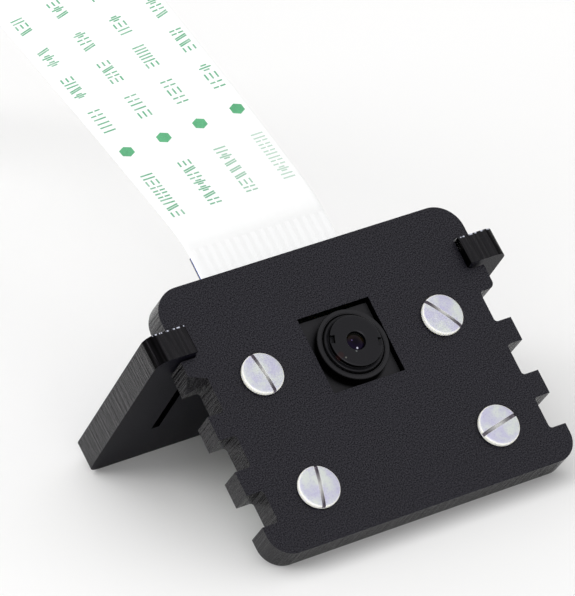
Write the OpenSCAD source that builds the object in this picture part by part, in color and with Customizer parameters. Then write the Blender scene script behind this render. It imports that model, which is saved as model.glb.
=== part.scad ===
// Clip-together desk stand that holds a small camera board and its ribbon.
// A notched front plate leans on a rear leg, whose two arms sit in a pair of
// side notches. Millimetres. X runs across the plate, +Y is behind, +Z is up.
// Most parts are drawn flat on the plate: x across, y up the plate from the
// lens axis, z out of its front face. on_plate() then leans them back.

/* [Front plate] */
// Half of the plate's width
plate_half_w = 17.7; // [17.3:0.1:18.3]
// Top edge above the lens axis
plate_top = 11.2; // [10.6:0.1:13]
// Bottom edge below the lens axis
plate_bottom = 17.85; // [17.2:0.05:20]
// Thickness of the sheet that plate and leg are cut from
sheet_t = 3.0; // [2.8:0.1:3.1]
// Radius of the top corners
top_corner_r = 3.0; // [1:0.1:3.5]
// Radius of the bottom corners
bottom_corner_r = 2.5; // [1:0.1:2.8]
// Distance between neighbouring notches
notch_pitch = 6.05; // [5.9:0.05:6.2]
// Height of one notch
notch_h = 3.45; // [3.4:0.05:3.6]
// Depth of one notch
notch_depth = 1.85; // [1.6:0.05:1.9]
// Middle of the top notch above the lens axis
notch_top_y = 5.53; // [5.4:0.01:5.7]
// Side of the square window for the camera module
window_w = 8.3; // [8.2:0.1:9]

/* [Rear leg] */
// Half of the leg's width
leg_half_w = 20.4; // [19.5:0.1:22]
// Reach of the leg behind the plate's front face
leg_reach = 22.8; // [21:0.1:26]
// How far the arms stand out of the plate's front face
arm_nose = 0.8; // [0.4:0.1:1.6]
// Droop of the leg in its loose notches, in degrees
leg_droop = 2.1; // [0:0.1:2.4]
// Gap between an arm and the bottom of its notch
arm_gap = 0.12; // [0.1:0.01:0.2]
// Width of the slit beside each arm
slit_w = 0.9; // [0.7:0.1:1.1]
// How far the slits lie in from the inner sides of the arms
slit_inset = 0.7; // [0:0.1:1]
// Reach of the slits behind the plate's front face
slit_reach = 16.3; // [13:0.1:17]
// Half of the width of the cut-out for the camera board
cutout_half_w = 13.1; // [12.9:0.1:13.3]
// Reach of that cut-out behind the plate's front face
cutout_reach = 9.2; // [8.8:0.1:11]

/* [Camera board] */
// Width of the board
board_w = 25.0; // [24.8:0.1:25.2]
// Height of the board
board_h = 23.862; // [23.8:0.001:24]
// Thickness of the board
board_t = 1.0; // [0.8:0.1:1.1]
// Thickness of the washers between plate and board
washer_t = 0.8; // [0.8:0.1:1]
// Hole spacing across the board
hole_dx = 21.0; // [20.9:0.1:21.1]
// Hole spacing up the board
hole_dy = 12.5; // [12.4:0.1:12.6]

/* [Screws] */
// Diameter of a screw's shank
screw_d = 2.0; // [1.9:0.1:2.1]
// Diameter of a screw's head
head_d = 4.3; // [3.8:0.1:4.4]
// Height of a screw's head
head_h = 0.9; // [0.8:0.05:1.3]
// Length of a screw's shank
screw_len = 6.0; // [5.6:0.1:6.2]

/* [Ribbon] */
// Width of the ribbon
ribbon_w = 16.0; // [15.8:0.1:16]
// Thickness of the ribbon
ribbon_t = 0.3; // [0.2:0.05:0.3]
// Length of the stiffener at each end
stiffener_len = 11.4; // [8:0.1:11.5]

/* [Hidden] */
$fn = 64;
eps = 0.02;

notch_count = 4;
notch_fillet_r = 0.35;
tooth_round_r = 0.7;
window_rise = 0.15;
screw_hole_r = 1.1;
cutout_corner_r = 1.0;
nose_corner_r = 1.3;
foot_corner_r = 1.2;

// Depths on the plate, measured from its front face
plate_back_z = -sheet_t;
board_front_z = plate_back_z - washer_t;
board_back_z = board_front_z - board_t;
board_foot_y = -hole_dy - 2.0;
board_head_y = board_foot_y + board_h;

// Leg sizes, measured from the middle of the sheet that it passes through
leg_mid_y = notch_top_y - 0.08;
leg_nose_z = sheet_t / 2 + arm_nose;
leg_foot_z = sheet_t / 2 - leg_reach;
leg_stop_z = -sheet_t / 2 - 0.15;
slit_end_z = sheet_t / 2 - slit_reach;
cutout_end_z = sheet_t / 2 - cutout_reach;
arm_inner_x = plate_half_w - notch_depth + arm_gap;

// Lean of the plate: its rear bottom edge and the leg's foot share one floor
foot_y = leg_mid_y - sheet_t / 2 * cos(leg_droop) + leg_foot_z * sin(leg_droop);
foot_z = plate_back_z + sheet_t / 2 + sheet_t / 2 * sin(leg_droop) + leg_foot_z * cos(leg_droop);
lean = atan2(plate_back_z - foot_z, foot_y + plate_bottom);
lift = plate_bottom * sin(lean) - plate_back_z * cos(lean);

// Shift that puts the middle of the footprint at Y = 0
heel_y = foot_y + sheet_t * cos(leg_droop);
heel_z = foot_z - sheet_t * sin(leg_droop);
front_reach = plate_bottom * cos(lean);
back_reach = heel_y * cos(lean) - heel_z * sin(lean);
shift_y = (front_reach - back_reach) / 2;

// Ribbon connector, in depths behind the front face
slot_roof_z = board_back_z - 1.0;
slot_floor_z = board_back_z - 2.15;
socket_back_z = board_back_z - 2.75;
ribbon_z = board_back_z - 1.5;
ribbon_start_y = 4.4;
ribbon_x = -0.2;
contact_count = 15;
contact_pitch = 1.0;
contact_w = 0.7;
contact_len = 4.0;
contact_t = 0.1;
stiffener_t = 0.2;
floor_gap = 0.05;

// The ribbon's middle line behind the connector: X, Y and Z over the floor, and
// how many degrees its right edge is rolled up there. The first two points are
// where it starts and where its straight end stops.
function on_plate_point(y, z) = [
    ribbon_x,
    y * cos(lean) - z * sin(lean) + shift_y,
    y * sin(lean) + z * cos(lean) + lift,
    0
];
ribbon_route = [
    on_plate_point(ribbon_start_y, ribbon_z),
    on_plate_point(16, ribbon_z),
    [-0.20, 13.2, 21.4, 0.2], [-0.18, 14.1, 21.9, 0.6],
    [-0.15, 15.0, 22.35, 0.9], [-0.12, 16.0, 22.8, 1.3],
    [0.12, 23.6, 25.7, 4.0], [0.36, 31.6, 28.7, 6.9],
    [0.61, 39.8, 31.6, 9.8], [0.86, 48.1, 34.5, 12.4],
    [1.0, 52.7, 35.8, 13.6], [1.1, 57.4, 36.4, 14.0],
    [1.2, 62.2, 36.3, 13.6], [1.2, 66.9, 35.5, 12.6],
    [1.2, 71.5, 34.1, 11.2], [1.2, 75.8, 32.1, 9.6],
    [1.2, 79.8, 29.6, 7.8], [1.2, 83.4, 26.4, 6.0],
    [1.2, 92.3, 17.5, 2.0], [1.2, 101.2, 8.6, 0],
    [1.2, 104.5, 5.8, 0], [1.2, 108.3, 3.5, 0],
    [1.2, 112.3, 1.8, 0], [1.2, 116.6, 0.8, 0],
    [1.2, 121.0, 0.4, 0], [1.2, 135.6, 0.4, 0]
];
ribbon_end_x = ribbon_route[len(ribbon_route) - 1][0];
ribbon_end_y = ribbon_route[len(ribbon_route) - 1][1];

// Leans the drawing plane of the plate back and stands it on the floor.
module on_plate() {
    translate([0, shift_y, lift])
        rotate([lean, 0, 0])
            children();
}

// Places the leg's own drawing, whose z runs along the leg, in the top notches.
module on_leg() {
    on_plate()
        translate([0, leg_mid_y, -sheet_t / 2])
            rotate([-leg_droop, 0, 0])
                children();
}

module box(x0, x1, y0, y1, z0, z1) {
    translate([x0, y0, z0])
        cube([x1 - x0, y1 - y0, z1 - z0]);
}

// Mirrors its child to both sides of the plate.
module both_sides() {
    children();
    mirror([1, 0, 0])
        children();
}

// Cuts an outside corner at x, y to radius r; the body lies towards -sx, -sy.
module corner_cut(x, y, r, sx, sy, depth) {
    translate([x - sx * r, y - sy * r, 0])
        difference() {
            translate([sx > 0 ? 0 : -r - 1, sy > 0 ? 0 : -r - 1, -depth - 1])
                cube([r + 1, r + 1, depth + 2]);
            translate([0, 0, -depth - 2])
                cylinder(h = depth + 4, r = r);
        }
}

module at_screws() {
    for (x = [-hole_dx / 2, hole_dx / 2])
        for (y = [-hole_dy, 0])
            translate([x, y, 0])
                children();
}

// One side notch, with small fillets at its two inner corners.
module notch_cutter() {
    x = plate_half_w - notch_depth;
    r = notch_fillet_r;
    translate([0, -notch_h / 2, -sheet_t - 1])
        linear_extrude(sheet_t + 2)
            union() {
                translate([x + r, 0])
                    square([notch_depth + 1, notch_h]);
                translate([x, r])
                    square([notch_depth, notch_h - 2 * r]);
                translate([x + r, r])
                    circle(r);
                translate([x + r, notch_h - r])
                    circle(r);
            }
}

// The chip off the left side's top tooth, whose lower edge is at y: a slanted
// break across its front lower corner.
module tooth_chip(y) {
    intersection() {
        box(-plate_half_w - 1, notch_depth - plate_half_w, y - 1, y + 2, -sheet_t - 1, 1);
        translate([-plate_half_w, y + 1, 0])
            rotate([0, 67, -112])
                translate([-4, -4, 0])
                    cube(8);
    }
}

module front_plate() {
    top_tooth_foot_y = notch_top_y - notch_pitch + notch_h / 2;
    color([0.08, 0.08, 0.09])
    on_plate()
    difference() {
        box(-plate_half_w, plate_half_w, -plate_bottom, plate_top, plate_back_z, 0);
        both_sides() {
            for (i = [0 : notch_count - 1])
                translate([0, notch_top_y - i * notch_pitch, 0])
                    notch_cutter();
            corner_cut(plate_half_w, plate_top, top_corner_r, 1, 1, sheet_t);
            corner_cut(plate_half_w, -plate_bottom, bottom_corner_r, 1, -1, sheet_t);
        }
        corner_cut(plate_half_w, top_tooth_foot_y, tooth_round_r, 1, -1, sheet_t);
        tooth_chip(top_tooth_foot_y);
        translate([-window_w / 2, window_rise - window_w / 2, plate_back_z - 1])
            cube([window_w, window_w, sheet_t + 2]);
        at_screws()
            translate([0, 0, plate_back_z - 1])
                cylinder(h = sheet_t + 2, r = screw_hole_r);
    }
}

// Cuts one outside corner of the leg to radius r, seen from above the leg.
module leg_corner_cut(x, z, r, sz) {
    rotate([90, 0, 0])
        translate([0, 0, sheet_t])
            corner_cut(x, z, r, 1, sz, 2 * sheet_t);
}

module rear_leg() {
    half_t = sheet_t / 2;
    r = cutout_corner_r;
    color([0.08, 0.08, 0.09])
    on_leg()
    difference() {
        box(-leg_half_w, leg_half_w, -half_t, half_t, leg_foot_z, leg_nose_z);
        box(-arm_inner_x, arm_inner_x, -sheet_t, sheet_t, leg_stop_z, leg_nose_z + 1);
        box(-cutout_half_w, cutout_half_w, -sheet_t, sheet_t, cutout_end_z + r, 0);
        box(r - cutout_half_w, cutout_half_w - r, -sheet_t, sheet_t, cutout_end_z, 0);
        both_sides() {
            translate([cutout_half_w - r, sheet_t, cutout_end_z + r])
                rotate([90, 0, 0])
                    cylinder(h = 2 * sheet_t, r = r);
            translate([arm_inner_x - slit_inset - slit_w, -sheet_t, slit_end_z])
                cube([slit_w, 2 * sheet_t, -slit_end_z]);
            leg_corner_cut(leg_half_w, leg_nose_z, nose_corner_r, 1);
            leg_corner_cut(leg_half_w, leg_foot_z, foot_corner_r, -1);
        }
    }
}

// One slotted pan-head screw; its slot is turned by the given angle.
module pan_screw(angle) {
    head_r = head_d / 2;
    foot_h = 0.22;
    foot_in = 0.25;
    dome_h = 0.25;
    dome_in = 0.5;
    slot_w = 0.36;
    slot_depth = 0.5;
    tip_h = 0.3;
    difference() {
        union() {
            cylinder(h = foot_h, r1 = head_r - foot_in, r2 = head_r);
            translate([0, 0, foot_h])
                cylinder(h = head_h - foot_h - dome_h, r = head_r);
            translate([0, 0, head_h - dome_h])
                cylinder(h = dome_h, r1 = head_r, r2 = head_r - dome_in);
        }
        rotate([0, 0, angle])
            translate([-head_r - 1, -slot_w / 2, head_h - slot_depth])
                cube([head_d + 2, slot_w, 1]);
    }
    translate([0, 0, tip_h - screw_len])
        cylinder(h = screw_len, r = screw_d / 2);
    translate([0, 0, -screw_len])
        cylinder(h = tip_h, r1 = screw_d / 2 - tip_h, r2 = screw_d / 2);
}

module nylon_screws() {
    x = hole_dx / 2;
    color([0.88, 0.90, 0.93])
    on_plate() {
        translate([-x, 0, 0])
            pan_screw(98);
        translate([x, 0, 0])
            pan_screw(124);
        translate([x, -hole_dy, 0])
            pan_screw(12);
        translate([-x, -hole_dy, 0])
            pan_screw(75);
    }
}

module nylon_washers() {
    washer_r = 1.95;
    color([0.88, 0.90, 0.93])
    on_plate()
    at_screws()
        translate([0, 0, board_front_z])
            difference() {
                cylinder(h = washer_t, r = washer_r);
                translate([0, 0, -1])
                    cylinder(h = washer_t + 2, r = screw_hole_r);
            }
}

module nylon_nuts() {
    flats_w = 4.0;
    nut_h = 1.2;
    color([0.88, 0.90, 0.93])
    on_plate()
    at_screws()
        translate([0, 0, board_back_z - nut_h])
            difference() {
                linear_extrude(nut_h)
                    polygon([for (i = [0 : 5]) flats_w / sqrt(3) * [cos(60 * i), sin(60 * i)]]);
                translate([0, 0, -1])
                    cylinder(h = nut_h + 2, r = screw_d / 2 + eps);
            }
}

module camera_board() {
    corner_r = 2.0;
    color([0.05, 0.30, 0.12])
    on_plate()
    difference() {
        box(-board_w / 2, board_w / 2, board_foot_y, board_head_y, board_back_z, board_front_z);
        both_sides() {
            corner_cut(board_w / 2, board_head_y, corner_r, 1, 1, -board_back_z);
            corner_cut(board_w / 2, board_foot_y, corner_r, 1, -1, -board_back_z);
        }
        at_screws()
            translate([0, 0, board_back_z - 1])
                cylinder(h = board_t + 2, r = screw_hole_r);
    }
}

// Widths, radii and heights of the stack that the camera module is built from
module_half_w = 4.0;
pad_half_w = 3.6;
filter_half_w = 3.2;
cavity_half_w = 3.4;
pad_top_z = board_front_z + 0.5;
substrate_top_z = pad_top_z + 0.4;
housing_top_z = -0.65;
holder_top_z = 0.5;
barrel_front_z = 1.35;
barrel_back_z = -2.0;
cavity_top_z = -2.2;
barrel_r = 2.75;
barrel_head_z = 0.72;
barrel_shank_r = 3.14;
barrel_hole_r = 3.22;
element_r = 2.15;
element_hole_r = 2.2;
spacer_hole_r = 1.6;

module module_pad() {
    color([0.15, 0.15, 0.15])
    on_plate()
        box(-pad_half_w, pad_half_w, -pad_half_w, pad_half_w, board_front_z, pad_top_z);
}

module sensor_substrate() {
    color([0.55, 0.35, 0.10])
    on_plate()
        box(-module_half_w, module_half_w, -module_half_w, module_half_w, pad_top_z, substrate_top_z);
}

module image_sensor() {
    color([0.20, 0.22, 0.28])
    on_plate()
        box(-2.5, 2.5, -2.0, 2.0, substrate_top_z, substrate_top_z + 0.25);
}

module ir_filter() {
    color([0.70, 0.45, 0.55])
    on_plate()
        box(-filter_half_w, filter_half_w, -filter_half_w, filter_half_w, cavity_top_z - 0.2, cavity_top_z);
}

module module_housing() {
    color([0.05, 0.05, 0.05])
    on_plate()
    difference() {
        box(-module_half_w, module_half_w, -module_half_w, module_half_w, substrate_top_z, housing_top_z);
        box(-cavity_half_w, cavity_half_w, -cavity_half_w, cavity_half_w, substrate_top_z - 1, cavity_top_z);
        translate([0, 0, cavity_top_z - 0.5])
            cylinder(h = 3, r = barrel_hole_r);
    }
}

module lens_holder() {
    foot_r = 3.5;
    rim_r = 3.77;
    rim_h = 0.25;
    wall_h = holder_top_z - housing_top_z - rim_h;
    color([0.05, 0.05, 0.05])
    on_plate()
    translate([0, 0, housing_top_z])
        difference() {
            union() {
                cylinder(h = wall_h, r1 = foot_r, r2 = rim_r);
                translate([0, 0, wall_h])
                    cylinder(h = rim_h, r = rim_r);
            }
            translate([0, 0, -1])
                cylinder(h = 3, r = barrel_hole_r);
        }
}

// The lens barrel: a plain shank where its thread is, and a head with two
// spanner notches in its rim.
module lens_barrel() {
    spanner_turn = -20;
    spanner_half_w = 0.42;
    spanner_reach = 0.5;
    spanner_depth = 0.4;
    rim_h = 0.15;
    bore_end_z = 0;
    aperture_r = 0.6;
    mouth_z = 0.7;
    mouth_r = 1.0;
    color([0.04, 0.04, 0.04])
    on_plate()
    difference() {
        union() {
            translate([0, 0, barrel_back_z])
                cylinder(h = barrel_head_z - barrel_back_z, r = barrel_shank_r);
            translate([0, 0, barrel_head_z])
                cylinder(h = barrel_front_z - rim_h - barrel_head_z, r = barrel_r);
            translate([0, 0, barrel_front_z - rim_h])
                cylinder(h = rim_h, r1 = barrel_r, r2 = barrel_r - rim_h);
        }
        translate([0, 0, barrel_back_z - 1])
            cylinder(h = bore_end_z - barrel_back_z + 1, r = element_hole_r);
        translate([0, 0, bore_end_z - 0.6])
            cylinder(h = 1.5, r = aperture_r);
        translate([0, 0, mouth_z])
            cylinder(h = barrel_front_z - mouth_z + eps, r1 = aperture_r, r2 = mouth_r);
        rotate([0, 0, spanner_turn])
            both_sides()
                box(
                    barrel_r - spanner_reach, barrel_r + 1,
                    -spanner_half_w, spanner_half_w,
                    barrel_front_z - spanner_depth, barrel_front_z + 1
                );
    }
}

module lens_disc(z0, z1) {
    translate([0, 0, z0])
        cylinder(h = z1 - z0, r = element_r);
}

module lens_elements() {
    color([0.45, 0.35, 0.60, 0.6])
    on_plate() {
        lens_disc(-0.45, 0);
        lens_disc(-1.10, -0.75);
        lens_disc(-1.70, -1.30);
    }
}

module spacer_ring(z0, z1) {
    difference() {
        lens_disc(z0, z1);
        translate([0, 0, z0 - 1])
            cylinder(h = z1 - z0 + 2, r = spacer_hole_r);
    }
}

module lens_spacers() {
    color([0.06, 0.06, 0.06])
    on_plate() {
        spacer_ring(-0.75, -0.45);
        spacer_ring(-1.30, -1.10);
        spacer_ring(-1.95, -1.70);
    }
}

// The module's flex tail runs down from its substrate to a small connector.
flex_top_z = -3.1;
flex_t = 0.15;
flex_end_y = -9.4;

module module_flex() {
    color([0.70, 0.40, 0.08])
    on_plate()
        box(-2.8, 2.8, flex_end_y, -4.0, flex_top_z - flex_t, flex_top_z);
}

module flex_connector() {
    color([0.10, 0.10, 0.10])
    on_plate()
        box(-3.2, 3.2, -9.2, -6.8, board_front_z, flex_top_z - flex_t);
}

// One bare contact of the ribbon: its first y, its underside and its thickness.
module contact_finger(y, z, t) {
    box(-contact_w / 2, contact_w / 2, y, y + contact_len, z, z + t);
}

module at_contacts() {
    for (i = [0 : contact_count - 1])
        translate([(i - (contact_count - 1) / 2) * contact_pitch, 0, 0])
            children();
}

// Socket sizes along the plate
socket_half_w = 10.9;
socket_foot_y = 3.6;
socket_head_y = 8.2;
slot_half_w = 8.3;
slot_foot_y = 4.2;

module ribbon_connector() {
    color([0.85, 0.80, 0.68])
    on_plate()
    difference() {
        box(-socket_half_w, socket_half_w, socket_foot_y, socket_head_y, socket_back_z, board_back_z);
        box(-slot_half_w, slot_half_w, slot_foot_y, socket_head_y + 1, slot_floor_z, slot_roof_z);
        at_contacts()
            box(-0.2, 0.2, socket_foot_y - 1, slot_foot_y + eps, slot_roof_z - 0.16, board_back_z + 1);
    }
}

module connector_contacts() {
    w = 0.15;
    tail_y = 2.8;
    color([0.80, 0.65, 0.30])
    on_plate()
    at_contacts() {
        box(-w, w, socket_foot_y + 0.1, 7.8, slot_roof_z - 0.15, slot_roof_z);
        box(-w, w, socket_foot_y + 0.1, 3.95, slot_roof_z - 0.15, board_back_z);
        box(-w, w, tail_y, 3.95, board_back_z - 0.2, board_back_z);
    }
}

module connector_tabs() {
    color([0.75, 0.76, 0.78])
    on_plate()
    both_sides()
        box(socket_half_w, socket_half_w + 0.8, 4.6, 6.6, board_back_z - 0.35, board_back_z);
}

// The slider that clamps the ribbon: a bar with a window, a tongue and two ears.
module connector_latch() {
    bar_foot_y = 8.3;
    bar_head_y = 9.4;
    ear_x = socket_half_w + 0.08;
    tongue_z = ribbon_z - ribbon_t / 2 - stiffener_t - 0.05;
    color([0.12, 0.10, 0.09])
    on_plate() {
        difference() {
            box(-11.5, 11.5, bar_foot_y, bar_head_y, socket_back_z + 0.1, board_back_z - 0.2);
            box(-slot_half_w, slot_half_w, 0, 20, tongue_z, slot_roof_z - 0.1);
        }
        box(-slot_half_w + 0.2, slot_half_w - 0.2, 5.5, bar_foot_y, tongue_z - 0.2, tongue_z);
        both_sides()
            box(ear_x, 11.5, 5.2, bar_foot_y, slot_floor_z, slot_roof_z);
    }
}

// Small parts soldered to the back of the board: x, y, width, length and height.
module chips(list) {
    on_plate()
    for (chip = list)
        translate([chip[0] - chip[2] / 2, chip[1] - chip[3] / 2, board_back_z - chip[4]])
            cube([chip[2], chip[3], chip[4]]);
}

module regulators() {
    color([0.07, 0.07, 0.07])
    chips([[-5.0, -1.6, 2.9, 1.6, 1.0], [0.0, -1.6, 2.9, 1.6, 1.0], [5.0, -1.6, 2.9, 1.6, 1.0]]);
}

module capacitors() {
    color([0.55, 0.42, 0.28])
    chips([
        for (x = [-6.0 : 1.5 : 6.0]) [x, 1.0, 0.8, 1.6, 0.8],
        for (x = [-6.0 : 3.0 : 6.0]) [x, -4.4, 1.6, 0.8, 0.8]
    ]);
}

module resistors() {
    color([0.06, 0.06, 0.07])
    chips([
        for (x = [-5.5 : 1.0 : 5.5]) [x, -6.2, 0.5, 1.0, 0.35]
    ]);
}

module crystal() {
    color([0.75, 0.76, 0.78])
    chips([[0, -9.4, 3.2, 2.5, 0.8]]);
}

module status_led() {
    color([0.90, 0.90, 0.85])
    on_plate()
        box(7.2, 8.8, 6.2, 7.0, board_front_z, board_front_z + 0.6);
}

// Unit vector across the ribbon at point i, from its underside to its top.
function route_normal(i) =
    let (a = ribbon_route[max(i - 1, 0)])
    let (b = ribbon_route[min(i + 1, len(ribbon_route) - 1)])
    let (run = [b[1] - a[1], b[2] - a[2]])
    [-run[1], run[0]] / norm(run);

// The four corners of the ribbon's cross-section at point i.
function ribbon_ring(i) =
    let (p = ribbon_route[i])
    let (n = route_normal(i))
    [for (side = [[-1, -1], [1, -1], [1, 1], [-1, 1]])
        let (across = side[0] * ribbon_w / 2)
        let (up = side[1] * ribbon_t / 2)
        let (rise = across * sin(p[3]) + up * cos(p[3]))
        [p[0] + across * cos(p[3]) - up * sin(p[3]), p[1] + n[0] * rise, p[2] + n[1] * rise]];

module ribbon_cable() {
    last = len(ribbon_route) - 1;
    points = [for (i = [0 : last]) each ribbon_ring(i)];
    sides = [for (i = [0 : last - 1]) for (k = [0 : 3])
        [4 * i + k, 4 * i + (k + 1) % 4, 4 * i + 4 + (k + 1) % 4, 4 * i + 4 + k]];
    ends = [[3, 2, 1, 0], [4 * last, 4 * last + 1, 4 * last + 2, 4 * last + 3]];
    color([0.95, 0.95, 0.95])
    polyhedron(points, concat(sides, ends));
}

// A film across the ribbon's width: its first y, its length and its two heights.
module stiffener(y, z0, z1) {
    box(-ribbon_w / 2, ribbon_w / 2, y, y + stiffener_len, z0, z1);
}

module near_stiffener() {
    back_z = ribbon_z - ribbon_t / 2;
    color([0.10, 0.30, 0.75])
    on_plate()
    translate([ribbon_x, 0, 0])
        stiffener(ribbon_start_y, back_z - stiffener_t, back_z);
}

module near_contacts() {
    front_z = ribbon_z + ribbon_t / 2;
    color([0.80, 0.70, 0.40])
    on_plate()
    translate([ribbon_x, 0, 0])
    at_contacts()
        contact_finger(ribbon_start_y, front_z, contact_t - eps);
}

module far_stiffener() {
    color([0.10, 0.30, 0.75])
    translate([ribbon_end_x, 0, 0])
        stiffener(ribbon_end_y - stiffener_len, floor_gap, floor_gap + stiffener_t);
}

module far_contacts() {
    top_z = floor_gap + stiffener_t + ribbon_t;
    color([0.80, 0.70, 0.40])
    translate([ribbon_end_x, 0, 0])
    at_contacts()
        contact_finger(ribbon_end_y - contact_len, top_z, contact_t);
}

front_plate();
rear_leg();
nylon_screws();
nylon_washers();
nylon_nuts();
camera_board();
module_pad();
sensor_substrate();
image_sensor();
ir_filter();
module_housing();
lens_holder();
lens_barrel();
lens_elements();
lens_spacers();
module_flex();
flex_connector();
ribbon_connector();
connector_contacts();
connector_tabs();
connector_latch();
regulators();
capacitors();
resistors();
crystal();
status_led();
ribbon_cable();
near_stiffener();
near_contacts();
far_stiffener();
far_contacts();
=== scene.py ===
"""Looks of the camera board tilt stand: camera, light, materials and fine detail.

Sizes are in millimetres where a comment says so, and metres everywhere else.
"""

import math
import random

import bmesh
import bpy
from mathutils import Matrix, Vector


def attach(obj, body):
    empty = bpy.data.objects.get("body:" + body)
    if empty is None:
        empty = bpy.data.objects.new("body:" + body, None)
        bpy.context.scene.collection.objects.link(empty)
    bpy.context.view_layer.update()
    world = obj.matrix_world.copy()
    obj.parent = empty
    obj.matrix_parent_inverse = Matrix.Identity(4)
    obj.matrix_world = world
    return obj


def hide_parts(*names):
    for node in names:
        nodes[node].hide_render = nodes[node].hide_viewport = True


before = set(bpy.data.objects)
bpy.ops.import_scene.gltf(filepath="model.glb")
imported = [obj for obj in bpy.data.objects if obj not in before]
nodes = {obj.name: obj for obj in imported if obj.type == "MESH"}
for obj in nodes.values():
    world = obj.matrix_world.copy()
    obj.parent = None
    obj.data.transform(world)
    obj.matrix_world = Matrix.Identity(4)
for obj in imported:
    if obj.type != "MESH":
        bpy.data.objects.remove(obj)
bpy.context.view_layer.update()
scene = bpy.context.scene
MM = 0.001

# ---------------------------------------------------------------- frames
# The plate's own frame: x across, y up the plate from the lens axis, z forwards.
LEAN = math.radians(43.18721)
PLATE_AT = (0.0, -0.00355727, 0.01440362)
PLATE = Matrix.Translation(PLATE_AT) @ Matrix.Rotation(LEAN, 4, "X")
PLATE_MM = PLATE @ Matrix.Scale(MM, 4)
DROOP = math.radians(2.1)
LEG_AT = tuple(PLATE_MM @ Vector((0, 5.45, -1.5)))

# Places on the plate in millimetres, as in the CAD
HOLE_DX = 21.0
HOLE_DY = 12.5
BOARD_FRONT_Z = -3.8
BOARD_BACK_Z = -4.8
HOLDER_TOP_Z = 0.5
HOUSING_TOP_Z = -0.65

# ---------------------------------------------------------------- camera
# Fitted to the screws, notches, window and edges in the photograph
camera = bpy.data.objects.new("camera", bpy.data.cameras.new("camera"))
scene.collection.objects.link(camera)
camera.location = (-0.2311715, -0.3674022, 0.2202212)
camera.rotation_euler = [math.radians(a) for a in (65.004894, 2.903462, -32.991282)]
camera.data.sensor_width = 36.0
camera.data.lens = 296.818
camera.data.shift_x = -0.000785
camera.data.shift_y = 0.005425
camera.data.clip_start = 0.01
camera.data.clip_end = 20.0
scene.camera = camera


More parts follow.
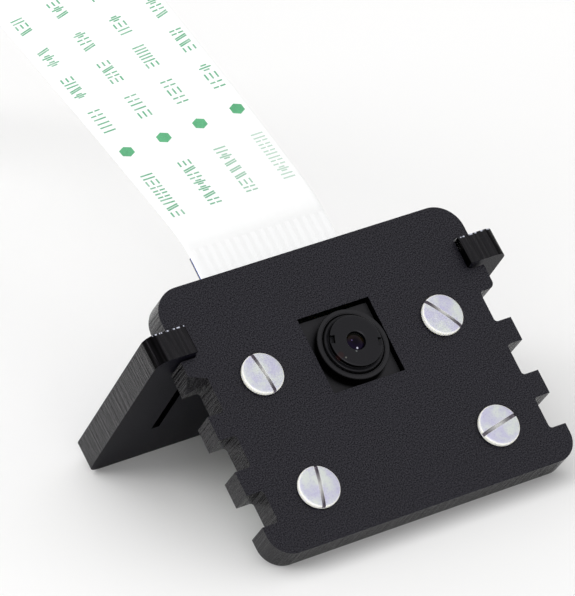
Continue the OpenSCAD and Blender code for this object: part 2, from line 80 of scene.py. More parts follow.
# ---------------------------------------------------------------- shaders
class Shader:
    """A node material that starts from one Principled shader."""

    def __init__(self, name, **values):
        self.material = bpy.data.materials.new(name)
        self.material.use_nodes = True
        self.tree = self.material.node_tree
        self.tree.nodes.clear()
        output = self.tree.nodes.new("ShaderNodeOutputMaterial")
        self.base = self.node("ShaderNodeBsdfPrincipled", **values)
        self.tree.links.new(self.base.outputs[0], output.inputs["Surface"])

    def put(self, socket, value):
        """Links a socket to another one, or sets its value."""
        if isinstance(value, bpy.types.NodeSocket):
            self.tree.links.new(value, socket)
        elif isinstance(value, tuple) and socket.type == "RGBA" and len(value) == 3:
            socket.default_value = (*value, 1.0)
        else:
            socket.default_value = value

    def node(self, kind, settings=None, **values):
        """A node with its settings, and its inputs by name."""
        made = self.tree.nodes.new(kind)
        for key, value in (settings or {}).items():
            setattr(made, key, value)
        for key, value in values.items():
            self.put(made.inputs[key.replace("_", " ")], value)
        return made

    def set(self, **values):
        """Sets or links inputs of the Principled shader."""
        for key, value in values.items():
            self.put(self.base.inputs[key.replace("_", " ")], value)
        return self

    def place(self, at=(0, 0, 0), turn=0.0, size=MM, source="Object"):
        """Coordinates in a frame at a point, turned about X, with this unit."""
        coords = self.node("ShaderNodeTexCoord")
        mapping = self.node("ShaderNodeMapping", {"vector_type": "TEXTURE"})
        self.put(mapping.inputs["Vector"], coords.outputs[source])
        mapping.inputs["Location"].default_value = at
        mapping.inputs["Rotation"].default_value = (turn, 0, 0)
        mapping.inputs["Scale"].default_value = (size, size, size)
        return mapping.outputs[0]

    def facing(self, turn=0.0):
        """The surface's direction as three parts, in a frame turned about X."""
        return self.split(self.place((0, 0, 0), turn, 1.0, "Normal"))

    def scaled(self, vector, factors):
        """The vector with each of its parts multiplied by its own factor."""
        made = self.node("ShaderNodeVectorMath", {"operation": "MULTIPLY"})
        self.put(made.inputs[0], vector)
        made.inputs[1].default_value = factors
        return made.outputs[0]

    def split(self, vector):
        """The x, y and z of a vector."""
        return self.node("ShaderNodeSeparateXYZ", Vector=vector).outputs

    def noise(self, vector, scale, detail=2.0, roughness=0.5):
        """Soft random values around one half."""
        made = self.node("ShaderNodeTexNoise", Vector=vector)
        made.inputs["Scale"].default_value = scale
        made.inputs["Detail"].default_value = detail
        made.inputs["Roughness"].default_value = roughness
        return made.outputs["Fac"]

    def maths(self, operation, a, b=0.0):
        """One sum of two values."""
        made = self.node("ShaderNodeMath", {"operation": operation})
        for socket, value in zip(made.inputs, (a, b)):
            self.put(socket, value)
        return made.outputs[0]

    def distance(self, x, y, at_x=0.0, at_y=0.0):
        """How far the point x, y is from another point, in the same unit."""
        across = self.maths("SUBTRACT", x, at_x)
        up = self.maths("SUBTRACT", y, at_y)
        across_squared = self.maths("MULTIPLY", across, across)
        up_squared = self.maths("MULTIPLY", up, up)
        return self.maths("SQRT", self.maths("ADD", across_squared, up_squared))

    def span(self, value, low, high, to_low=0.0, to_high=1.0):
        """Runs from to_low to to_high while the value runs from low to high."""
        made = self.node("ShaderNodeMapRange", {"clamp": True})
        for socket, item in zip(made.inputs, (value, low, high, to_low, to_high)):
            self.put(socket, item)
        return made.outputs[0]

    # Where the Mix node has its two inputs and its output for each kind of value
    MIX_SOCKETS = {"RGBA": (6, 7, 2), "VECTOR": (4, 5, 1)}

    def mix(self, factor, a, b, kind="RGBA"):
        """Turns from a to b while the factor runs from 0 to 1."""
        first, second, result = self.MIX_SOCKETS[kind]
        made = self.node("ShaderNodeMix", {"data_type": kind})
        self.put(made.inputs[0], factor)
        self.put(made.inputs[first], a)
        self.put(made.inputs[second], b)
        return made.outputs[result]

    def bump(self, height, strength, depth):
        """Small ups and downs of the surface, with their depth in metres."""
        made = self.node("ShaderNodeBump", Height=height)
        made.inputs["Strength"].default_value = strength
        made.inputs["Distance"].default_value = depth
        return made.outputs[0]


def sheet_shader(
    name, at, turn, axis, face_level, edge_level, cut_depth, window=False, arms=False
):
    """Black sheet: fine-grained faces, and cut edges with lines across them."""
    made = Shader(name)
    place = made.place(at, turn)
    x, y, z = made.split(place)
    normal = made.facing(turn)
    on_face = made.span(made.maths("ABSOLUTE", normal[axis]), 0.55, 0.85)
    grain = made.noise(place, 8.0, 2.0, 0.75)
    cloud = made.noise(place, 0.12, 2.0)
    close = made.span(grain, 0.25, 0.75, 0.3, 1.7)
    wide = made.span(cloud, 0.3, 0.7, 0.85, 1.15)
    tone = made.span(made.maths("MULTIPLY", close, wide), 0.0, 2.0)
    face_colour = made.mix(tone, (0.0005, 0.0005, 0.001), (0.0045, 0.004, 0.009))
    along = [2.2, 2.2, 2.2]
    along[axis] = 0.12
    lines = made.noise(made.scaled(place, tuple(along)), 1.0, 5.0, 0.62)
    streak = made.span(lines, 0.36, 0.64)
    edge_colour = made.mix(streak, (0.0005, 0.0005, 0.0005), (0.006, 0.0055, 0.0065))
    level = made.span(grain, 0.33, 0.67, 0.0, 2.0 * face_level)
    level = made.span(on_face, 0, 1, edge_level, level)
    outside = 1.0
    if window:
        # Painted shade: the walls of the square window and of the screw holes are painted matt black,
        # with little specular.
        far = made.maths("MAXIMUM", made.maths("ABSOLUTE", x), made.maths("ABSOLUTE", y))
        outside = made.span(far, 4.5, 4.8)
    if arms:
        # Painted shade: so are the slits and the sides of the arms that face the plate.
        outside = made.span(made.maths("ABSOLUTE", x), 15.99, 16.07)
        # Painted highlights: a row of bright glints along the top of each arm's end, on the cut lines.
        corner = made.maths("MULTIPLY", made.span(y, 1.33, 1.42), made.span(z, 2.0, 2.12))
        glint_spots = made.maths("MULTIPLY", corner, made.span(lines, 0.5, 0.56))
        edge_colour = made.mix(glint_spots, edge_colour, (0.55, 0.57, 0.66))
        # Painted shade: the round corners of the arms lose nearly all their specular, except on a few of
        # the lines.
        round_part = made.maths("ABSOLUTE", made.maths("MULTIPLY", normal[0], normal[2]))
        between = made.span(lines, 0.68, 0.56)
        corner_shade = made.maths("MULTIPLY", made.span(round_part, 0.05, 0.2), between)
        level = made.maths("MULTIPLY", level, made.span(corner_shade, 0, 1, 1.0, 0.08))
    # Painted shade: where outside is low, the edges are painted near black and keep an eighth of their
    # specular.
    edge_colour = made.mix(outside, (0.0004, 0.0004, 0.0004), edge_colour)
    painted_lit = made.maths("MAXIMUM", outside, on_face)
    level = made.maths("MULTIPLY", level, made.span(painted_lit, 0, 1, 0.12, 1.0))
    uneven = made.span(grain, 0.3, 0.7, -0.06, 0.08)
    rough = made.bump(grain, 0.5, 0.00004)
    cut = made.bump(lines, 1.0, cut_depth)
    made.set(
        Base_Color=made.mix(on_face, edge_colour, face_colour),
        Roughness=made.maths("ADD", uneven, made.span(on_face, 0, 1, 0.17, 0.42)),
        Specular_IOR_Level=level,
        Specular_Tint=(0.93, 0.91, 1.0),
        Normal=made.mix(on_face, cut, rough, "VECTOR"),
    )
    return made.material


def plain_shader(name, colour, roughness, grain=9.0, vary=0.15, depth=0.00001, **values):
    """A moulded or fired surface: its colour, roughness and height vary finely."""
    made = Shader(name, **values)
    place = made.place(PLATE_AT, LEAN)
    fine = made.noise(place, grain, 3.0, 0.6)
    broad = made.noise(place, grain * 0.06, 2.0)
    tone = made.maths("ADD", made.maths("MULTIPLY", fine, 0.6), made.maths("MULTIPLY", broad, 0.4))
    low = tuple((1 - vary) * c for c in colour)
    high = tuple((1 + vary) * c for c in colour)
    made.set(
        Base_Color=made.mix(made.span(tone, 0.35, 0.65), low, high),
        Roughness=made.span(fine, 0.3, 0.7, roughness - 0.06, roughness + 0.06),
        Normal=made.bump(fine, 0.4, depth),
    )
    return made.material


def moulded_shader(name, low, high, level, painted_collar_shadow=False, glint_spots=()):
    """Black lens parts with painted shade: faces that look forwards keep their colour and specular, and
    walls are painted near black.
    """
    made = Shader(name)
    place = made.place(PLATE_AT, LEAN)
    x, y, z = made.split(place)
    fine = made.noise(place, 9.0, 3.0, 0.6)
    # Painted shade: walls that do not look forwards are painted near black, with little specular.
    painted_lit = made.span(made.facing(LEAN)[2], 0.4, 0.8)
    if painted_collar_shadow:
        # The housing is painted with the shadow of the collar, which falls down and left.
        clear = made.span(made.distance(x, y, -0.16, -0.33), 3.58, 3.9)
        raised = made.span(z, HOUSING_TOP_Z + 0.1, HOUSING_TOP_Z + 0.3)
        painted_lit = made.maths("MULTIPLY", painted_lit, made.maths("MAXIMUM", clear, raised))
    colour = made.mix(painted_lit, (0.0003, 0.0003, 0.0003), made.mix(fine, low, high))
    # Painted glints and patches, each mixed into the colour within its radius
    for at_x, at_y, radius, tint in glint_spots:
        away = made.distance(x, y, at_x, at_y)
        colour = made.mix(made.span(away, radius, 0.5 * radius), colour, tint)
    made.set(
        Base_Color=colour,
        Roughness=made.span(fine, 0.3, 0.7, 0.38, 0.52),
        Specular_IOR_Level=made.span(painted_lit, 0, 1, 0.02, level),
        Specular_Tint=(0.95, 0.93, 1.0),
        Normal=made.bump(fine, 0.4, 0.00001),
    )
    return made.material


plate_black = sheet_shader("black_sheet", PLATE_AT, LEAN, 2, 0.40, 0.29, 0.0004, window=True)
leg_black = sheet_shader("black_sheet_leg", LEG_AT, LEAN - DROOP, 1, 0.13, 0.22, 0.00022, arms=True)
# Painted highlights: a pale glint by the mouth, and another at the tip of a dark brown patch by the rim
BARREL_GLINT_SPOTS = [
    (-0.54, -1.02, 0.12, (0.10, 0.11, 0.11)),
    (-2.30, -0.92, 0.42, (0.012, 0.004, 0.004)), (-1.93, -1.33, 0.12, (0.10, 0.10, 0.09)),
]
barrel_black = moulded_shader(
    "barrel_black", (0.003, 0.003, 0.004), (0.007, 0.007, 0.008), 0.24, glint_spots=BARREL_GLINT_SPOTS
)
module_black = moulded_shader(
    "module_black", (0.003, 0.003, 0.0035), (0.009, 0.009, 0.01), 0.36, painted_collar_shadow=True
)
board_green = plain_shader("board_green", (0.012, 0.13, 0.045), 0.3, 3.0, 0.12)
foam_black = plain_shader("foam_pad", (0.03, 0.03, 0.03), 0.9, 18.0, 0.5, 0.00005)
flex_amber = plain_shader("flex_amber", (0.42, 0.17, 0.02), 0.3, 4.0, 0.12)
cream = plain_shader("connector_cream", (0.70, 0.62, 0.46), 0.45, 6.0, 0.06)
brown = plain_shader("latch_brown", (0.03, 0.024, 0.02), 0.4, 8.0, 0.25)
chip_black = plain_shader("chip_black", (0.022, 0.022, 0.023), 0.55, 16.0, 0.35)
tan = plain_shader("capacitor_tan", (0.36, 0.24, 0.14), 0.45, 12.0, 0.12)
led_white = plain_shader("led_white", (0.80, 0.79, 0.70), 0.25, 4.0, 0.04)
gold = plain_shader("gold_contact", (0.80, 0.60, 0.26), 0.28, 10.0, 0.1, 0.000005, Metallic=1.0)
tin = plain_shader("tinned_steel", (0.66, 0.67, 0.68), 0.3, 8.0, 0.12, 0.00001, Metallic=1.0)
silkscreen = plain_shader("silkscreen", (0.78, 0.79, 0.78), 0.6, 14.0, 0.05)
die = plain_shader("sensor_die", (0.20, 0.22, 0.30), 0.12, 6.0, 0.2, 0.000002, Metallic=0.8)


def stiffener_shader():
    """Blue film on its broad faces, and grey where its sides were slit."""
    made = Shader("stiffener_blue")
    fine = made.noise(made.place(), 3.0, 3.0, 0.6)
    side = made.maths("ABSOLUTE", made.facing()[0])
    film = made.mix(fine, (0.012, 0.09, 0.46), (0.018, 0.11, 0.58))
    made.set(
        Base_Color=made.mix(made.span(side, 0.3, 0.8), film, (0.10, 0.10, 0.11)),
        Roughness=made.span(fine, 0.3, 0.7, 0.24, 0.34),
        Normal=made.bump(fine, 0.4, 0.00001),
    )
    return made.material


blue = stiffener_shader()
print_green = plain_shader("print_green", (0.10, 0.42, 0.20), 0.55, 8.0, 0.2, 0.000002)


def stroke_shader():
    """Thin green ink, which is paler in random spots and towards the right near the board."""
    made = Shader("print_stroke")
    place = made.place()
    x, y, _ = made.split(place)
    fine = made.noise(place, 8.0, 3.0, 0.6)
    paler_near_board = made.maths("MULTIPLY", made.span(x, -3.0, 8.0), made.span(y, 25.5, 23.5))
    spots = made.span(made.noise(place, 0.9, 3.0), 0.45, 0.7, 0.0, 0.25)
    thin = made.maths("MAXIMUM", made.maths("MULTIPLY", paler_near_board, 0.55), spots)
    ink = made.mix(fine, (0.09, 0.38, 0.19), (0.15, 0.45, 0.27))
    made.set(
        Base_Color=made.mix(thin, ink, (0.90, 0.92, 0.91)),
        Roughness=made.span(fine, 0.3, 0.7, 0.5, 0.6),
    )
    return made.material


print_stroke = stroke_shader()


def glass_shader(name, colour, roughness):
    """Tinted clear glass."""
    made = Shader(name, IOR=1.52, Transmission_Weight=1.0)
    fine = made.noise(made.place(PLATE_AT, LEAN), 3.0, 2.0)
    made.set(
        Base_Color=made.mix(fine, tuple(0.85 * c for c in colour), colour),
        Roughness=made.span(fine, 0.3, 0.7, roughness, roughness + 0.03),
    )
    return made.material


lens_glass = glass_shader("lens_glass", (0.45, 0.30, 0.62), 0.02)
filter_glass = glass_shader("filter_glass", (0.75, 0.45, 0.55), 0.03)


def nylon_shader(name, low, high, rim_colour, scatter, groove=False):
    """Milky nylon; the rim of each of the four heads is painted paler, as painted light glowing through
    the nylon.
    """
    made = Shader(name, IOR=1.53)
    place = made.place(PLATE_AT, LEAN)
    x, y, _ = made.split(place)
    # The four screws mirror each other, so one distance serves them all.
    across = made.maths("ABSOLUTE", x)
    up = made.maths("ABSOLUTE", made.maths("ADD", y, HOLE_DY / 2))
    from_axis = made.distance(across, up, HOLE_DX / 2, HOLE_DY / 2)
    # Painted light: the rim of each head is painted paler.
    rim = made.span(from_axis, 2.0, 2.12)
    broad = made.noise(place, 0.7, 3.0)
    fine = made.noise(place, 5.0, 4.0, 0.65)
    tone = made.maths("ADD", made.maths("MULTIPLY", broad, 0.75), made.maths("MULTIPLY", fine, 0.25))
    colour = made.mix(rim, made.mix(made.span(tone, 0.4, 0.6), low, high), rim_colour)
    if groove:
        # Painted light and shade: the walls of the slot are painted pale in the middle and dark at their
        # ends.
        colour = made.mix(made.span(from_axis, 0.3, 1.7), low, high)
    made.set(
        Base_Color=colour,
        Roughness=made.span(fine, 0.3, 0.7, 0.22, 0.4),
        Normal=made.bump(made.maths("ADD", fine, broad), 0.3, 0.00004),
        Subsurface_Weight=scatter,
        Subsurface_Radius=(1.0, 1.0, 1.1),
        Subsurface_Scale=0.0004,
    )
    return made.material


nylon = nylon_shader("nylon", (0.50, 0.49, 0.62), (0.60, 0.63, 0.61), (0.95, 0.93, 0.86), 0.8)
nylon_slot_light_shade = nylon_shader(
    "nylon_slot_light_shade", (0.75, 0.75, 0.74), (0.14, 0.12, 0.15), (0.2, 0.2, 0.2), 0.2, groove=True
)


# The ribbon's length in millimetres. Its map has one unit for 100 mm.
RIBBON_FULL = 149.8
MAP_UNIT = 100.0


def ribbon_shader():
    """White laminated film; the flat conductors under it show as faint stripes."""
    made = Shader("ribbon_white", IOR=1.5)
    flat = made.node("ShaderNodeUVMap", {"uv_map": "flat"}).outputs[0]
    across, along, _ = made.split(flat)
    x = made.maths("MULTIPLY", across, MAP_UNIT)
    s = made.maths("MULTIPLY", along, MAP_UNIT)
    wave = made.maths("COSINE", made.maths("MULTIPLY", x, 2 * math.pi))
    stripe = made.span(wave, -0.35, 0.35)
    inside = made.span(made.maths("ABSOLUTE", x), 7.55, 7.45)
    stripe = made.maths("MULTIPLY", stripe, inside)
    bare = made.span(s, 12.15, 11.95)
    far = made.span(s, RIBBON_FULL - 7.9, RIBBON_FULL - 7.7)
    shown = made.span(made.maths("MAXIMUM", bare, far), 0, 1, 0.05, 1.0)
    amount = made.maths("MULTIPLY", stripe, shown)
    place = made.place()
    broad = made.noise(place, 0.12, 3.0)
    fine = made.noise(place, 6.0, 3.0)
    white = made.mix(made.span(broad, 0.3, 0.7), (0.93, 0.935, 0.935), (0.96, 0.96, 0.96))
    ridge = made.maths("ADD", made.maths("MULTIPLY", amount, 0.6), made.maths("MULTIPLY", fine, 0.1))
    made.set(
        Base_Color=made.mix(made.maths("MULTIPLY", amount, 0.20), white, (0.62, 0.62, 0.61)),
        # Painted light: the film glows a little near its end at the board, fading out between 8.5 and
        # 12.6 mm along it.
        Emission_Color=(1.0, 1.0, 1.0),
        Emission_Strength=made.span(s, 8.5, 12.6, 0.36, 0.0),
        Roughness=made.span(fine, 0.3, 0.7, 0.36, 0.48),
        Normal=made.bump(ridge, 0.25, 0.00002),
        Subsurface_Weight=0.15,
        Subsurface_Radius=(1.0, 1.0, 1.0),
        Subsurface_Scale=0.0003,
    )
    return made.material


ribbon_white = ribbon_shader()


# ---------------------------------------------------------------- mesh helpers
def sharpen(mesh, degrees):
    """Smooth faces, with the edges past this angle kept sharp."""
    for polygon in mesh.polygons:
        polygon.use_smooth = True
    mesh.set_sharp_from_angle(angle=math.radians(degrees))


def add_piece(name, bm, matrix, material, body="stand", sharp=35, bevel=0.0):
    """Turns a bmesh into a named piece that rides on a body."""
    bmesh.ops.recalc_face_normals(bm, faces=bm.faces)
    mesh = bpy.data.meshes.new(name)
    bm.to_mesh(mesh)
    bm.free()
    mesh.transform(matrix)
    made = bpy.data.objects.new(name, mesh)
    scene.collection.objects.link(made)
    mesh.materials.append(material)
    if bevel:
        edge_bevel(made, bevel)
    sharpen(mesh, sharp)
    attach(made, body)
    return made


def edge_bevel(piece, width, degrees=40):
    """Rounds the edges past this angle by a width in millimetres."""
    made = piece.modifiers.new("edges", "BEVEL")
    made.width = width * MM
    made.segments = 2
    made.limit_method = "ANGLE"
    made.angle_limit = math.radians(degrees)
    made.harden_normals = False


def apply_modifiers(piece):
    """Gives the piece the mesh that its modifiers make."""
    graph = bpy.context.evaluated_depsgraph_get()
    made = bpy.data.meshes.new_from_object(piece.evaluated_get(graph))
    piece.modifiers.clear()
    old = piece.data
    piece.data = made
    bpy.data.meshes.remove(old)


def cut_with(piece, cutters):
    """Subtracts the cutters, which are removed afterwards."""
    for cutter in cutters:
        made = piece.modifiers.new("cut", "BOOLEAN")
        made.operation = "DIFFERENCE"
        made.solver = "EXACT"
        made.object = cutter
    bpy.context.view_layer.update()
    apply_modifiers(piece)
    for cutter in cutters:
        bpy.data.objects.remove(cutter)


def add_box(bm, low, high, bevel=0.0):
    """A box between two corners in the piece's own units, with round edges."""
    low, high = Vector(low), Vector(high)
    matrix = Matrix.Translation((low + high) / 2) @ Matrix.Diagonal((*(high - low), 1))
    made = bmesh.ops.create_cube(bm, size=1.0, matrix=matrix)
    if bevel:
        edges = {e for v in made["verts"] for e in v.link_edges}
        bmesh.ops.bevel(bm, geom=list(edges), offset=bevel, segments=2, affect="EDGES", profile=0.5)


def add_ring(bm, steps, height, radius_at, centre=(0, 0)):
    """A ring of vertices round Z; radius_at gives the radius at step i."""
    made = []
    for i in range(steps):
        a = 2 * math.pi * i / steps
        radius = radius_at(i)
        x = centre[0] + radius * math.cos(a)
        y = centre[1] + radius * math.sin(a)
        made.append(bm.verts.new((x, y, height)))
    return made


def bridge(bm, low, high):
    """Faces between two closed rings, of which one may be a single point."""
    steps = max(len(low), len(high))
    for i in range(steps):
        j = (i + 1) % steps
        corners = [low[i % len(low)], low[j % len(low)], high[j % len(high)], high[i % len(high)]]
        bm.faces.new(list(dict.fromkeys(corners)))


def add_lathe(bm, profile, steps, centre=(0, 0)):
    """Turns a list of (radius, height) round Z. Radius 0 closes an end."""
    rings = []
    for radius, height in profile:
        if radius:
            rings.append(add_ring(bm, steps, height, lambda i: radius, centre))
        else:
            rings.append([bm.verts.new((*centre, height))])
    for low, high in zip(rings, rings[1:]):
        bridge(bm, low, high)


def add_tube(bm, inner, outer, low, high, steps, centre):
    """A ring with flat faces between two radii and two heights."""
    add_lathe(bm, [(inner, low), (outer, low), (outer, high), (inner, high), (inner, low)], steps, centre)


def weld(bm):
    """Joins the vertices that lie in the same place."""
    bmesh.ops.remove_doubles(bm, verts=bm.verts, dist=1e-4)


def tool_object(name, bm, matrix):
    """An object that is only there to cut with."""
    mesh = bpy.data.meshes.new(name)
    bmesh.ops.recalc_face_normals(bm, faces=bm.faces)
    bm.to_mesh(mesh)
    bm.free()
    mesh.transform(matrix)
    made = bpy.data.objects.new(name, mesh)
    scene.collection.objects.link(made)
    return made


# ---------------------------------------------------------------- ribbon
# The ribbon's middle line over the floor in millimetres, and how many degrees its
# right edge is rolled up there, as in the CAD
ROUTE = [
    (-0.20, 3.9635, 12.8209, 0), (-0.20, 12.4213, 20.7597, 0),
    (-0.20, 13.2, 21.4, 0.2), (-0.18, 14.1, 21.9, 0.6),
    (-0.15, 15.0, 22.35, 0.9), (-0.12, 16.0, 22.8, 1.3),
    (0.12, 23.6, 25.7, 4.0), (0.36, 31.6, 28.7, 6.9),
    (0.61, 39.8, 31.6, 9.8), (0.86, 48.1, 34.5, 12.4),
    (1.0, 52.7, 35.8, 13.6), (1.1, 57.4, 36.4, 14.0),
    (1.2, 62.2, 36.3, 13.6), (1.2, 66.9, 35.5, 12.6),
    (1.2, 71.5, 34.1, 11.2), (1.2, 75.8, 32.1, 9.6),
    (1.2, 79.8, 29.6, 7.8), (1.2, 83.4, 26.4, 6.0),
    (1.2, 92.3, 17.5, 2.0), (1.2, 101.2, 8.6, 0),
    (1.2, 104.5, 5.8, 0), (1.2, 108.3, 3.5, 0),
    (1.2, 112.3, 1.8, 0), (1.2, 116.6, 0.8, 0),
    (1.2, 121.0, 0.4, 0), (1.2, 135.6, 0.4, 0),
]
RIBBON_T = 0.3


def even_route(points, step):
    """Points about a step apart along the route: [place, roll], and its length."""
    places = [Vector(p[:3]) for p in points]
    lengths = [0.0]
    for a, b in zip(places, places[1:]):
        lengths.append(lengths[-1] + (b - a).length)
    count = round(lengths[-1] / step)
    made, i = [], 0
    for k in range(count + 1):
        s = lengths[-1] * k / count
        while i < len(points) - 2 and s > lengths[i + 1]:
            i += 1
        t = (s - lengths[i]) / (lengths[i + 1] - lengths[i])
        roll = points[i][3] * (1 - t) + points[i + 1][3] * t
        made.append(Vector((*places[i].lerp(places[i + 1], t), roll)))
    return made, lengths[-1]


ribbon_line, RIBBON_LENGTH = even_route(ROUTE, 0.5)
# Rounds the corners between the route's straight pieces, and keeps both ends.
for _ in range(6):
    middle = [(a + 2 * b + c) / 4 for a, b, c in zip(ribbon_line, ribbon_line[1:], ribbon_line[2:])]
    ribbon_line = ribbon_line[:1] + middle + ribbon_line[-1:]


def ribbon_frames(line):
    """For each point: its place, and the directions across and off the top."""
    made = []
    for i, p in enumerate(line):
        ahead = (line[min(i + 1, len(line) - 1)] - line[max(i - 1, 0)]).to_3d().normalized()
        across = Vector((1, 0, 0))
        across = (across - ahead * across.dot(ahead)).normalized()
        up = across.cross(ahead)
        roll = math.radians(p[3])
        level = across * math.cos(roll) + up * math.sin(roll)
        risen = up * math.cos(roll) - across * math.sin(roll)
        made.append((p.to_3d(), level, risen))
    return made


ribbon_at = ribbon_frames(ribbon_line)


def on_ribbon(x, s, height):
    """The place at x across and s along the ribbon, over its middle by a height."""
    f = max(0.0, min(len(ribbon_at) - 1.001, s / RIBBON_LENGTH * (len(ribbon_at) - 1)))
    i = int(f)
    a, b = ribbon_at[i], ribbon_at[i + 1]
    point = a[0].lerp(b[0], f - i)
    across = a[1].lerp(b[1], f - i)
    normal = a[2].lerp(b[2], f - i)
    return (point + across * x + normal * height) * MM


JACKET_FROM = 12.05
JACKET_TO = RIBBON_LENGTH - 7.8
JACKET_STEP = 0.12
BARE_HALF = 0.11


def ribbon_half(s):
    """Half the ribbon's thickness: the white jacket ends short of both ends."""
    rise = min(1.0, max(0.0, (s - JACKET_FROM) / JACKET_STEP))
    fall = min(1.0, max(0.0, (JACKET_TO - s) / JACKET_STEP))
    return BARE_HALF + (RIBBON_T / 2 - BARE_HALF) * min(rise, fall)


def make_ribbon():
    """A closed strip along the route, a little thinner at its two long edges."""
    bm = bmesh.new()
    flat = bm.loops.layers.uv.new("flat")
    edge = [7.9, 7.97, 8.0]
    columns = [-x for x in edge[::-1]] + [x / 2 for x in range(-15, 16)] + edge
    thin = [1.0, 0.8, 0.35]
    depth = thin[::-1] + [1.0] * 31 + thin
    stops = sorted(
        {RIBBON_LENGTH * k / 200 for k in range(201)}
        | {JACKET_FROM, JACKET_FROM + JACKET_STEP, JACKET_TO, JACKET_TO - JACKET_STEP}
    )
    rings = []
    for s in stops:
        half = ribbon_half(s)
        top = [(x, half * d) for x, d in zip(columns, depth)]
        under = [(x, -half * d) for x, d in zip(columns[::-1], depth[::-1])]
        ring = [(bm.verts.new(on_ribbon(x, s, h)), x) for x, h in top + under]
        rings.append((s, ring))
    for (s0, low), (s1, high) in zip(rings, rings[1:]):
        n = len(low)
        for i in range(n):
            j = (i + 1) % n
            corners = [(*low[i], s0), (*low[j], s0), (*high[j], s1), (*high[i], s1)]
            face = bm.faces.new([vertex for vertex, _, _ in corners])
            for loop, (_, x, s) in zip(face.loops, corners):
                loop[flat].uv = (x / MAP_UNIT, s / MAP_UNIT)
    for s, ring in (rings[0], rings[-1]):
        face = bm.faces.new([vertex for vertex, _ in ring])
        for loop, (_, x) in zip(face.loops, ring):
            loop[flat].uv = (x / MAP_UNIT, s / MAP_UNIT)
    piece = add_piece("ribbon", bm, Matrix.Identity(4), ribbon_white, sharp=50)
    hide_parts("ribbon_cable")
    return piece


ribbon = make_ribbon()

# Printed marks in millimetres: groups of plain strokes in four rows along the
# ribbon, all repeated further on. Each row is (across, shift along); each group is
# (middle, length, number of marks). A plain six-sided patch follows the first group.
ROWS = [(-6.38, 0.0), (-2.03, 0.2), (2.26, 0.39), (6.74, 0.62)]
GROUPS = [(19.84, 7.1, 7), (32.4, 4.0, 3), (38.31, 3.7, 4), (43.76, 3.2, 3), (49.51, 3.0, 3)]
PATCH_AT = 27.13
PATCH_R = 0.8
REPEAT = 41.0
TICK_H = 1.35
TICK_W = 0.18
PRINT_RISE = 0.012
PRINT_T = 0.02


def add_patch(bm, corners, height):
    """A thin printed patch on the ribbon, with corners as (across, along)."""
    low = [bm.verts.new(on_ribbon(x, s, height - PRINT_T)) for x, s in corners]
    top = [bm.verts.new(on_ribbon(x, s, height)) for x, s in corners]
    bm.faces.new(top)
    bm.faces.new(low[::-1])
    bridge(bm, low, top)


# Each mark is a list of strokes between (across, along) ends, in half sizes.
MARKS = [
    [(-1, -1, 1, -1), (-1, 1, 1, 1)],
    [(-1, -1, -1, 1), (0, -1, 0, 1), (1, -1, 1, 1)],
    [(-1, -1, 1, 0), (-1, 0, 1, 1)],
    [(-1, -1, -0.3, -1), (0.3, -1, 1, -1), (-1, 1, -0.3, 1), (0.3, 1, 1, 1)],
    [(-1, 0, 1, 0), (-0.4, -1, 0.4, -1), (-0.4, 1, 0.4, 1)],
]


def add_mark(bm, row, s, half_run, top, strokes):
    """One printed mark at a place along a row, from its strokes."""
    wide = TICK_W / 2
    for x0, s0, x1, s1 in strokes:
        a = Vector((row + x0 * (TICK_H / 2 - wide), s + s0 * half_run))
        b = Vector((row + x1 * (TICK_H / 2 - wide), s + s1 * half_run))
        run = (b - a).normalized() * wide
        side = Vector((-run.y, run.x))
        add_patch(bm, [a - run - side, b + run - side, b + run + side, a - run + side], top)


def hexagon(x, s):
    """Corners of a plain patch around a point on the ribbon."""
    turns = [math.pi / 3 * k for k in range(6)]
    return [(x + PATCH_R * math.sin(a), s + PATCH_R * math.cos(a)) for a in turns]


def make_print():
    """The strokes and the patches, as one piece each."""
    strokes, patches = bmesh.new(), bmesh.new()
    dice = random.Random(4)
    top = RIBBON_T / 2 + PRINT_RISE
    for row, shift in ROWS:
        for turn in range(4):
            base = shift + turn * REPEAT
            for middle, length, count in GROUPS:
                pitch = length / count
                for k in range(count):
                    s = base + middle + pitch * (k + 0.5 - count / 2)
                    if s + 1 > JACKET_TO:
                        continue
                    add_mark(strokes, row, s, 0.27 * pitch, top, dice.choice(MARKS))
            s = base + PATCH_AT
            if s + 1 < JACKET_TO:
                add_patch(patches, hexagon(row, s), top)
    still = Matrix.Identity(4)
    return [
        add_piece("ribbon_print", strokes, still, print_stroke, sharp=30),
        add_piece("ribbon_patches", patches, still, print_green, sharp=30),
    ]


ribbon_print = make_print()

# ---------------------------------------------------------------- CAD nodes
# Each node's material, and how far its edges are rounded in millimetres
DRESS = {
    "front_plate": (plate_black, 0.07),
    "rear_leg": (leg_black, 0.07),
    "nylon_washers": (nylon, 0.12),
    "camera_board": (board_green, 0.04),
    "module_pad": (foam_black, 0.04),
    "sensor_substrate": (flex_amber, 0.03),
    "image_sensor": (die, 0.02),
    "ir_filter": (filter_glass, 0.02),
    "module_housing": (module_black, 0.12),
    "lens_elements": (lens_glass, 0.05),
    "lens_spacers": (module_black, 0.03),
    "module_flex": (flex_amber, 0.03),
    "flex_connector": (chip_black, 0.08),
    "ribbon_connector": (cream, 0.10),
    "connector_contacts": (gold, 0.02),
    "connector_tabs": (tin, 0.05),
    "connector_latch": (brown, 0.08),
    "regulators": (chip_black, 0.08),
    "capacitors": (tan, 0.08),
    "resistors": (chip_black, 0.04),
    "crystal": (tin, 0.15),
    "status_led": (led_white, 0.06),
    "near_stiffener": (blue, 0.03),
    "near_contacts": (gold, 0.02),
    "far_stiffener": (blue, 0.03),
    "far_contacts": (gold, 0.02),
}
